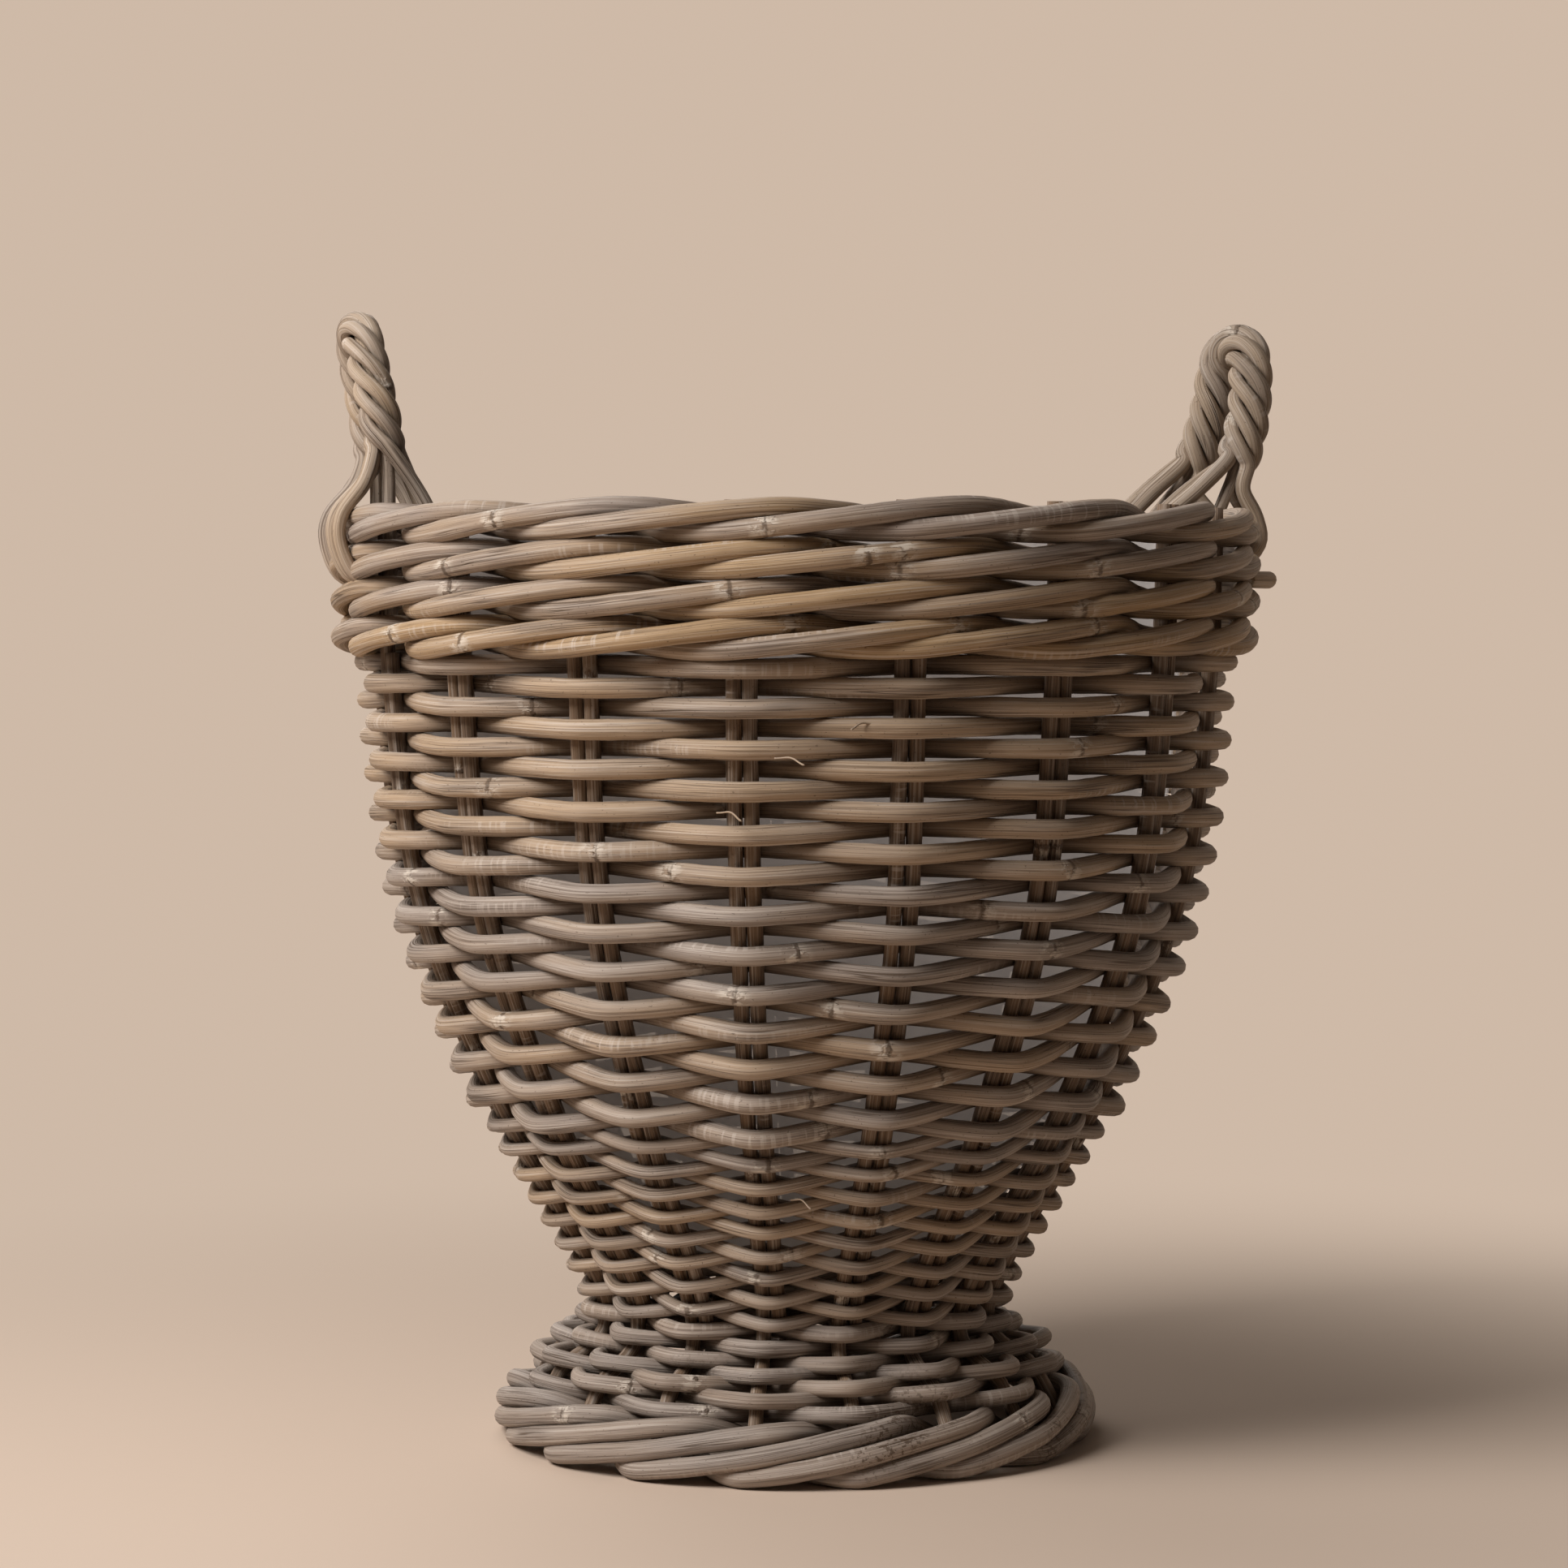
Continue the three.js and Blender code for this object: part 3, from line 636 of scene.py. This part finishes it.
# %% [markdown]
# ## The rim's wale
# Three rods are twisted round the top, four times round. Each goes in front of two places and
# behind the third, coming out low under its neighbours and going in high over them. Sines would have
# to be fitted by trial. Here a weaver's few positions over one repeat are joined as a polygon and
# rounded by a Gaussian, which keeps the path smooth and periodic and is easy to change.

# %% Rim wale
WALE_R = 4.7
RIM_DRIFT_R = 215
WALE_AT = [-0.5, -0.22, 0.0, 0.5, 1.0, 1.28, 1.5, 1.8, 2.0, 2.2]
WALE_OUT = [1.5, 10.5, 14.6, 17.6, 14.2, 10.2, 2.0, -9.2, -10.2, -9.2]
WALE_RISE = [-4.6, -6.2, -5.4, -0.9, 3.8, 5.4, 4.4, 1.6, -0.6, -2.4]


def rounded(at, values, period, softness):
    """A periodic polygon through the values, rounded by a Gaussian of a width, as a function."""
    n = 600
    grid = np.arange(n) * period / n
    polygon = np.interp(grid, at, values, period=period)
    waves = np.fft.rfftfreq(n, period / n) * 2 * np.pi
    soft = np.fft.irfft(np.fft.rfft(polygon) * np.exp(-(softness * waves) ** 2 / 2), n)
    return lambda q: np.interp(q, grid, soft, period=period)


wale_out = rounded(WALE_AT, WALE_OUT, 3, 0.10)
wale_rise = rounded(WALE_AT, WALE_RISE, 3, 0.12)
for rod in range(3):
    k = np.arange(rod - 0.8, WALE_BANDS * STAKES - RISE - 0.5 + rod * 0.4, 1 / 26)
    climbed = rows_climbed(np.maximum(k, 0)) * WALE_PITCH
    z = WALE_FLOOR + WALE_PITCH / 2 + climbed + wale_rise(k - rod)
    r = wall_at(wall_distance(z))[0] + wale_out(k - rod)
    run = k * SPACING * RIM_DRIFT_R
    z = z + 0.45 * wander(run, 260, 500 + rod)
    r = r + 0.5 * wander(run, 240, 510 + rod)
    warm = np.interp(z, [385, 405, 425, 445], [0.12, 0.2, 0.55, 0.75])
    tone = np.clip(warm + 0.3 * wander(run, 420, 520 + rod), 0, 1)
    # painted shade: darker where the rod lies back behind its neighbours
    dirt_and_painted_shade = np.clip((8 - wale_out(k - rod)) / 12, 0, 1)
    angle = angle_of(k)
    name = f"rim_wale_{rod + 1}"
    cane(f"{name}_rod", name, rim_rattan, around(r, angle, z), facing_out(angle), WALE_R,
         tone, 14, 530 + rod, dirt_and_painted_shade)
print("pieces with the wale:", len(PIECES))

# %% [markdown]
# ## The foot
# In the foot only the main stakes go on, so the rows there go round single rods, and stiff cane on a
# sloping wall keeps its height as it goes in and out. The same weave makes it, with the move turned
# towards the horizontal.

# %% Foot weaver
FOOT_R = 4.05
BORDER_TOP_Z = 24.75
HALF_ROD, HALF_CANE = 3.75, 3.1
CLOSEST_FOOT_PITCH = 6.8
FOOT_LEVEL = 0.75
FOOT_TOP = WAIST - FIRST_ROW
FOOT_LOW = float(wall_distance(BORDER_TOP_Z)) + HALF_ROD + HALF_CANE
FOOT_ROWS = int((FOOT_TOP - FOOT_LOW) // CLOSEST_FOOT_PITCH) + 1
FOOT_PITCH = (FOOT_TOP - FOOT_LOW) / (FOOT_ROWS - 1)


def foot_row(rows):
    """Distance along the wall after a number of rows, which is below 0 in the foot."""
    return FOOT_TOP + (rows + 1) * FOOT_PITCH


weave("foot_weaver", foot_rattan, -FOOT_ROWS * STAKES - 0.4, -RISE + 0.4, FOOT_R,
      foot_row, -PAIR, 600, 1 / 14, FOOT_LEVEL)
print("foot rows:", FOOT_ROWS, "pitch", round(FOOT_PITCH, 2))

# %% [markdown]
# ## The border
# The urn stands on a border of four rods, each in front of three stakes and behind the fourth. A
# ring of plain rope would look close from afar, but each rod's dive under its neighbours shows at
# the front. So it is drawn like the wale: a polygon over one repeat, rounded. No rod goes below the
# floor.

# %% Foot border
BORDER_R = 4.8
BORDER_DRIFT_R = 138
BORDER_AT = [-0.45, -0.15, 1.0, 2.15, 2.5, 2.8, 3.2]
border_r = rounded(BORDER_AT, [127, 141.5, 143, 136.5, 126, 114.5, 114.5], 4, 0.11)
border_z = rounded(BORDER_AT, [5.6, 4.4, 14.5, 25.2, 25.4, 20, 9.5], 4, 0.12)
for rod in range(4):
    k = np.arange(rod - 0.6, rod + 15.95, 1 / 26)
    run = k * SPACING * BORDER_DRIFT_R
    r = border_r(k - rod) + 0.6 * wander(run, 150, 650 + rod)
    z = np.maximum(border_z(k - rod) + 0.5 * wander(run, 140, 660 + rod), BORDER_R + 0.3)
    tone = np.clip(0.8 + 0.25 * wander(run, 300, 670 + rod), 0, 1)
    # painted shade: darker where the rod dives in under its neighbours
    dirt_and_painted_shade = np.clip((132 - r) / 14, 0, 1)
    angle = angle_of(k) - PAIR / 130
    name = f"foot_border_{rod + 1}"
    cane(f"{name}_rod", name, foot_rattan, around(r, angle, z), facing_out(angle),
         BORDER_R, tone, 14, 680 + rod, dirt_and_painted_shade)
print("pieces with the foot:", len(PIECES))

# %% [markdown]
# ## The handles
# A bow stands beside two main stakes. Four canes are laid round it as a rope, and at each leg the
# two outer ones run down over the rim's outside and the two inner ones down its inside. The rope
# could be one tube with a twisted bump, but its canes part at the legs, so each is a path of its
# own: a helix about the bow, with a few stations at each end that lead it into the rim.

# %% Bow and rope
LEG_R = 203.0
LEG_ACROSS = LEG_R * np.sin(SPACING / 2)
LEG_DEPTH = LEG_R * np.cos(SPACING / 2)
BOW_R = 3.2
ROPE_FOOT_Z = 470
LAY = 52  # mm of rope to each turn
LAID_AT = 1.86  # distance of a laid cane from the bow's middle, in its own radius


def bow_stations(widths, lean, sway):
    """One leg from its foot to the top, and the other leg mirrored, as (sideways, out, height).

    From the neck to the top, widths is how far each leg stands from the middle, lean is how far it
    leans out, and sway moves both sideways."""
    half = [(-LEG_ACROSS, 0, 389), (-LEG_ACROSS, 0, 420), (-LEG_ACROSS, lean[0] * 0.4, 446),
            (-widths[0], lean[0], 472), (-widths[1], lean[1], 500), (-widths[2], lean[2], 526)]
    whole = np.array(half + [(0, lean[3], 534)] + [(-a, o, z) for a, o, z in half[::-1]])
    whole[:, 0] += sway * np.clip((whole[:, 2] - 450) / 40, 0, 1)
    return whole


def laid_canes(bow, outward, strand):
    """Four helices about the bow above the rim, a quarter turn apart, over whole or half turns."""
    s = length_along(bow)
    above = np.flatnonzero(bow[:, 2] > ROPE_FOOT_Z)
    t = np.linspace(s[above[0]], s[above[-1]], 190)
    centre = np.stack([np.interp(t, s, bow[:, i]) for i in range(3)], axis=1)
    along = np.gradient(centre, axis=0)
    along /= np.linalg.norm(along, axis=1)[:, None]
    across = np.cross(along, outward)
    across /= np.linalg.norm(across, axis=1)[:, None]
    over = np.cross(across, along)
    turns = round(2 * (t[-1] - t[0]) / LAY) / 2
    turn = [2 * np.pi * ((i + 0.5) / 4 - turns * (t - t[0]) / (t[-1] - t[0])) for i in range(4)]
    return [centre + LAID_AT * strand * (np.cos(a)[:, None] * over + np.sin(a)[:, None] * across)
            for a in turn]


print("handle legs:", round(2 * LEG_ACROSS, 1), "mm apart")

# %% Handles


def leg_stations(spread, reach, leg, neck, bulge):
    """A laid cane's way from the rope into the rim: outside if it lies further out than the neck."""
    fan = leg + (spread - leg) * 1.1
    depth = np.sqrt(LEG_R**2 - fan**2) - LEG_DEPTH
    if reach > neck:
        return [(spread, max(12.5, reach - 3), 461), (fan, depth + bulge - 1.5, 447),
                (fan, depth + bulge, 434), (fan, depth + 18, 419), (fan, depth + 6, 414)]
    return [(spread, reach / 2 - 9, 461), (fan, depth - 17.5, 447), (fan, depth - 18, 436),
            (fan, depth - 14, 426)]


def handle(side, first, strand, widths, lean, sway, bulge, seed):
    """The bow is a cubic through its stations, and so is each laid cane, from leg to leg."""
    middle = angle_of(first + 0.5) + PAIR / LEG_R
    outward = np.array([np.cos(middle), np.sin(middle), 0])
    sideways = np.array([-np.sin(middle), np.cos(middle), 0])
    up = np.array([0, 0, 1.0])

    def spots(stations):
        """Each station's point: so far out, sideways and up from the axis."""
        return np.array([(LEG_DEPTH + out) * outward + a * sideways + z * up for a, out, z in stations])

    def wear(path, level, wave, number):
        """A tone about a level that drifts along the path."""
        return level + 0.3 * wander(length_along(path), wave, number)

    bow = smooth_line(spots(bow_stations(widths, lean, sway)), 40)
    cane(f"{side}_handle_bow_rod", f"{side}_handle_bow", handle_rattan, bow,
         np.broadcast_to(outward, bow.shape), BOW_R, wear(bow, 0.5, 300, seed), 12, seed)
    for i, rope in enumerate(laid_canes(bow, outward, strand)):
        legs = [spots(leg_stations(end @ sideways, end @ outward - LEG_DEPTH, leg, lean[0], bulge))
                for end, leg in ((rope[0], -LEG_ACROSS), (rope[-1], LEG_ACROSS))]
        path = smooth_line(np.vstack([legs[0][::-1], rope[4:-4:6], legs[1]]), 5)
        name = f"{side}_handle_cane_{i + 1}"
        tone = np.clip(wear(path, 0.45, 260, seed + 5 + i), 0, 1)
        cane(f"{name}_strand", name, handle_rattan, path,
             np.broadcast_to(outward + 0.05 * sideways, path.shape), strand, tone, 14, seed + 10 + i)


handle("left", 3, 3.5, (34.5, 29.5, 19), (1.5, 6, 11, 12), 0, 24.5, 700)
handle("right", 12, 3.9, (25.5, 21.5, 15.5), (23, 29.5, 32.5, 33), -11, 33, 750)
print("pieces with the handles:", len(PIECES))

# %% [markdown]
# ## The base
# A small round mat of cane closes the waist. It lies out of sight, so a plain disc would do from the
# front, but light comes through the weave and the inside shows from above. It is woven here as such
# mats are: one cane goes round and round over spokes, with a ring below its edge.

# %% Base mat
MAT_Z = 87.5
MAT_TURNS = 11
EDGE_R, EDGE_Z = 77.0, 80.6
flat = np.array([0, 0, 1.0])
k = np.arange(0, MAT_TURNS * STAKES, 1 / 8)
spiral = np.minimum(6 + 6.6 * k / STAKES, 76.5)
path = around(spiral, k * SPACING, MAT_Z + 2.6 * over_under(k) * np.clip(spiral / 30, 0.2, 1))
mat_tubes = [tube(path, np.broadcast_to(flat, path.shape), 2.4, np.full(len(path), 0.6), 8, 800)]
turn = np.linspace(0, 2 * np.pi, 160)
edge = around(EDGE_R, turn, EDGE_Z)
mat_tubes.append(tube(edge, facing_out(turn), 3.4, np.full(160, 0.6), 10, 810))
for k in range(STAKES):
    spoke = around(np.linspace(78, 4, 12), np.full(12, k * SPACING), MAT_Z)
    mat_tubes.append(tube(spoke, np.broadcast_to(flat, (12, 3)), 1.5, np.full(12, 0.5), 8, 820 + k))
base = piece_of(mat_tubes, "base_mat_weave", "base_mat", foot_rattan)
print("base mat:", len(mat_tubes), "tubes,", len(base.data.polygons), "faces")

# %% [markdown]
# ## The liner
# A thin film of plastic lines the bowl and shows as pale slivers between the rows. Glass would be
# too clear. The film is mostly see-through, with a little grey skin and some light that passes
# through and scatters. Its sheet is a profile turned about the axis, with both faces of the film,
# and folds that are sines round the axis, deeper towards the mouth.

# %% Liner film
film = bpy.data.materials.new("liner_film")
film.use_nodes = True
pen = Nodes(film.node_tree)
film_skin = film.node_tree.nodes["Principled BSDF"]
film_skin.inputs["Base Color"].default_value = (0.50, 0.48, 0.475, 1)
film_skin.inputs["Roughness"].default_value = 0.38
film_skin.inputs["Alpha"].default_value = 0.24
creases = pen.noise(pen.add("TexCoord").outputs["Object"], 26, 4)
pen.feed(film_skin.inputs["Normal"], pen.bump(creases, 0.6, 0.006))
glowing = pen.add("BsdfTranslucent")
glowing.inputs[0].default_value = (0.80, 0.78, 0.78, 1)
film_end = film.node_tree.nodes["Material Output"]
pen.mix_shaders(0.2, film_skin.outputs[0], glowing.outputs[0], film_end)
print("film nodes:", len(film.node_tree.nodes))

# %% Liner sheet
FILM = 0.7
FROM_WALL = 15.5
MOUTH_R = 182
r, z, nr, nz = wall_at(np.linspace(float(wall_distance(106)), float(wall_distance(370)), 40))
outer = np.vstack([[[2, 91.6], [60, 91.6], [77, 92.2]],
                   np.stack([r - FROM_WALL * nr, z - FROM_WALL * nz], axis=1),
                   [[MOUTH_R, 384], [MOUTH_R, 415], [MOUTH_R, 446]]])
profile = np.vstack([outer, (outer - [FILM, 0])[::-1] + [[0, FILM]]])
turn = np.linspace(0, 2 * np.pi, 240, endpoint=False)
folds = (np.sin(9 * turn + 1.0) + np.sin(14 * turn + 2.6) + np.sin(23 * turn)) / 3
depth = np.interp(profile[:, 1], [95, 150, 446], [0, 0.8, 1.6])
radius = profile[:, :1] - depth[:, None] * (1 + folds[None, :])
wavy_edge = np.interp(profile[:, 1:], [420, 447], [0, 2.2]) * np.sin(5 * turn + 0.6)[None, :]
points = around(radius, turn, profile[:, 1:] + wavy_edge).reshape(-1, 3)
points = np.vstack([points, [[0, 0, profile[0, 1]], [0, 0, profile[-1, 1]]]])
sheet = mesh_from("liner_sheet", points, *ring_faces(*radius.shape), {})
place(sheet, ["liner"], film)
triangles = sum(len(p.data.loops) - 2 * len(p.data.polygons) for p in PIECES)
print("pieces:", len(PIECES), "triangles:", triangles)

# %% [markdown]
# ## The floor
# A pale sheet of paper that fades into the background. A curved backdrop is the photographer's way,
# but its bend would catch the shadow. Here a flat floor takes the shadow near the urn, and further
# out the rays that are seen find the background's own colour on it.

# %% Floor
PALE = (0.62, 0.49, 0.39)


def seen_rays(pen):
    """1 for a ray that the camera sees straight, in a gloss or through a film, and 0 for any other."""
    rays = pen.add("LightPath").outputs
    bounced = pen.math("ADD", rays["Is Glossy Ray"], rays["Is Transmission Ray"])
    return pen.math("ADD", rays["Is Camera Ray"], bounced, clamp=True)


floor_mesh = bpy.data.meshes.new("floor")
floor_mesh.from_pydata([(-8, -8, 0), (8, -8, 0), (8, 8, 0), (-8, 8, 0)], [], [(0, 1, 2, 3)])
floor = bpy.data.objects.new("floor", floor_mesh)
scene.collection.objects.link(floor)
floor_mat = bpy.data.materials.new("floor_paper")
floor_mat.use_nodes = True
floor_mesh.materials.append(floor_mat)
pen = Nodes(floor_mat.node_tree)
paper = floor_mat.node_tree.nodes["Principled BSDF"]
paper.inputs["Base Color"].default_value = (*PALE, 1)
paper.inputs["Roughness"].default_value = 0.9
glow = pen.add("Emission")
glow.inputs[0].default_value = (*PALE, 1)
away = pen.add("VectorMath", operation="LENGTH")
pen.feed(away.inputs[0], pen.add("TexCoord").outputs["Object"])
far = pen.math("MULTIPLY", pen.ramp(away.outputs["Value"], 0.25, 0.95), seen_rays(pen))
floor_end = floor_mat.node_tree.nodes["Material Output"]
pen.mix_shaders(far, paper.outputs[0], glow.outputs[0], floor_end)
print("floor:", floor.name, "nodes:", len(floor_mat.node_tree.nodes))

# %% Background
SKY_LIGHT = 0.04

world = bpy.data.worlds.new("studio")
scene.world = world
world.use_nodes = True
pen = Nodes(world.node_tree)
sky = world.node_tree.nodes["Background"]
sky.inputs[0].default_value = (1.0, 0.96, 0.92, 1)
sky.inputs[1].default_value = SKY_LIGHT
seen = pen.add("Background")
seen.inputs[0].default_value = (*PALE, 1)
seen.inputs[1].default_value = 1.0
world_end = world.node_tree.nodes["World Output"]
pen.mix_shaders(seen_rays(pen), sky.outputs[0], seen.outputs[0], world_end)
print("background:", PALE, "light from it:", SKY_LIGHT)

# %% [markdown]
# ## Lamps and camera
# A large soft lamp stands at the upper left, as in the photo, and a weak one behind, so that the
# back shows too. A sun lamp would give hard shadows between the rows. The camera stands where the
# photo was taken from: two metres away and a little below the rim.

# %% Lamps
LAMP_AIM = [0, 0, 0.25]


def soft_lamp(name, azimuth, elevation, distance, size, power, tint):
    """A square lamp at an azimuth and elevation, in degrees, that faces the urn."""
    data = bpy.data.lights.new(name, "AREA")
    data.size = size
    data.energy = power
    data.color = tint
    lamp = bpy.data.objects.new(name, data)
    a, e = np.radians([azimuth, elevation])
    at = np.array([np.cos(a) * np.cos(e), np.sin(a) * np.cos(e), np.sin(e)]) * distance + LAMP_AIM
    lamp.location = at
    lamp.rotation_euler = (np.pi / 2 - e, 0, a + np.pi / 2)
    scene.collection.objects.link(lamp)
    print(f"{name} lamp: {power} W at {at.round(2)}")


soft_lamp("key", -158, 39, 2.0, 1.0, 49, (1.0, 0.975, 0.955))
soft_lamp("back", 95, 35, 2.6, 1.6, 18, (1.0, 0.97, 0.94))

# %% Camera
IMAGE = 1932
FOCAL = 5060  # the lens's focal length, in pixels of the image
AIM_ACROSS, AIM_DOWN = 14, 221  # how far the view is turned, in the same pixels
STAND_OFF, EYE = 2.0, 0.404
lens = bpy.data.cameras.new("camera")
lens.sensor_width = 36
lens.lens = FOCAL / IMAGE * 36
camera = bpy.data.objects.new("camera", lens)
view = np.radians(-104.5)
camera.location = (STAND_OFF * np.cos(view), STAND_OFF * np.sin(view), EYE)
tilt, heading = np.pi / 2 - np.arctan(AIM_DOWN / FOCAL), view + np.pi / 2 + AIM_ACROSS / FOCAL
camera.rotation_euler = (tilt, 0, heading)
scene.collection.objects.link(camera)
scene.camera = camera
scene.view_settings.view_transform = "Standard"
print("camera lens:", round(lens.lens, 1), "mm")

# %% [markdown]
# ## Up to date
# Last, the view layer is brought up to date.

# %% Up to date
bpy.context.view_layer.update()
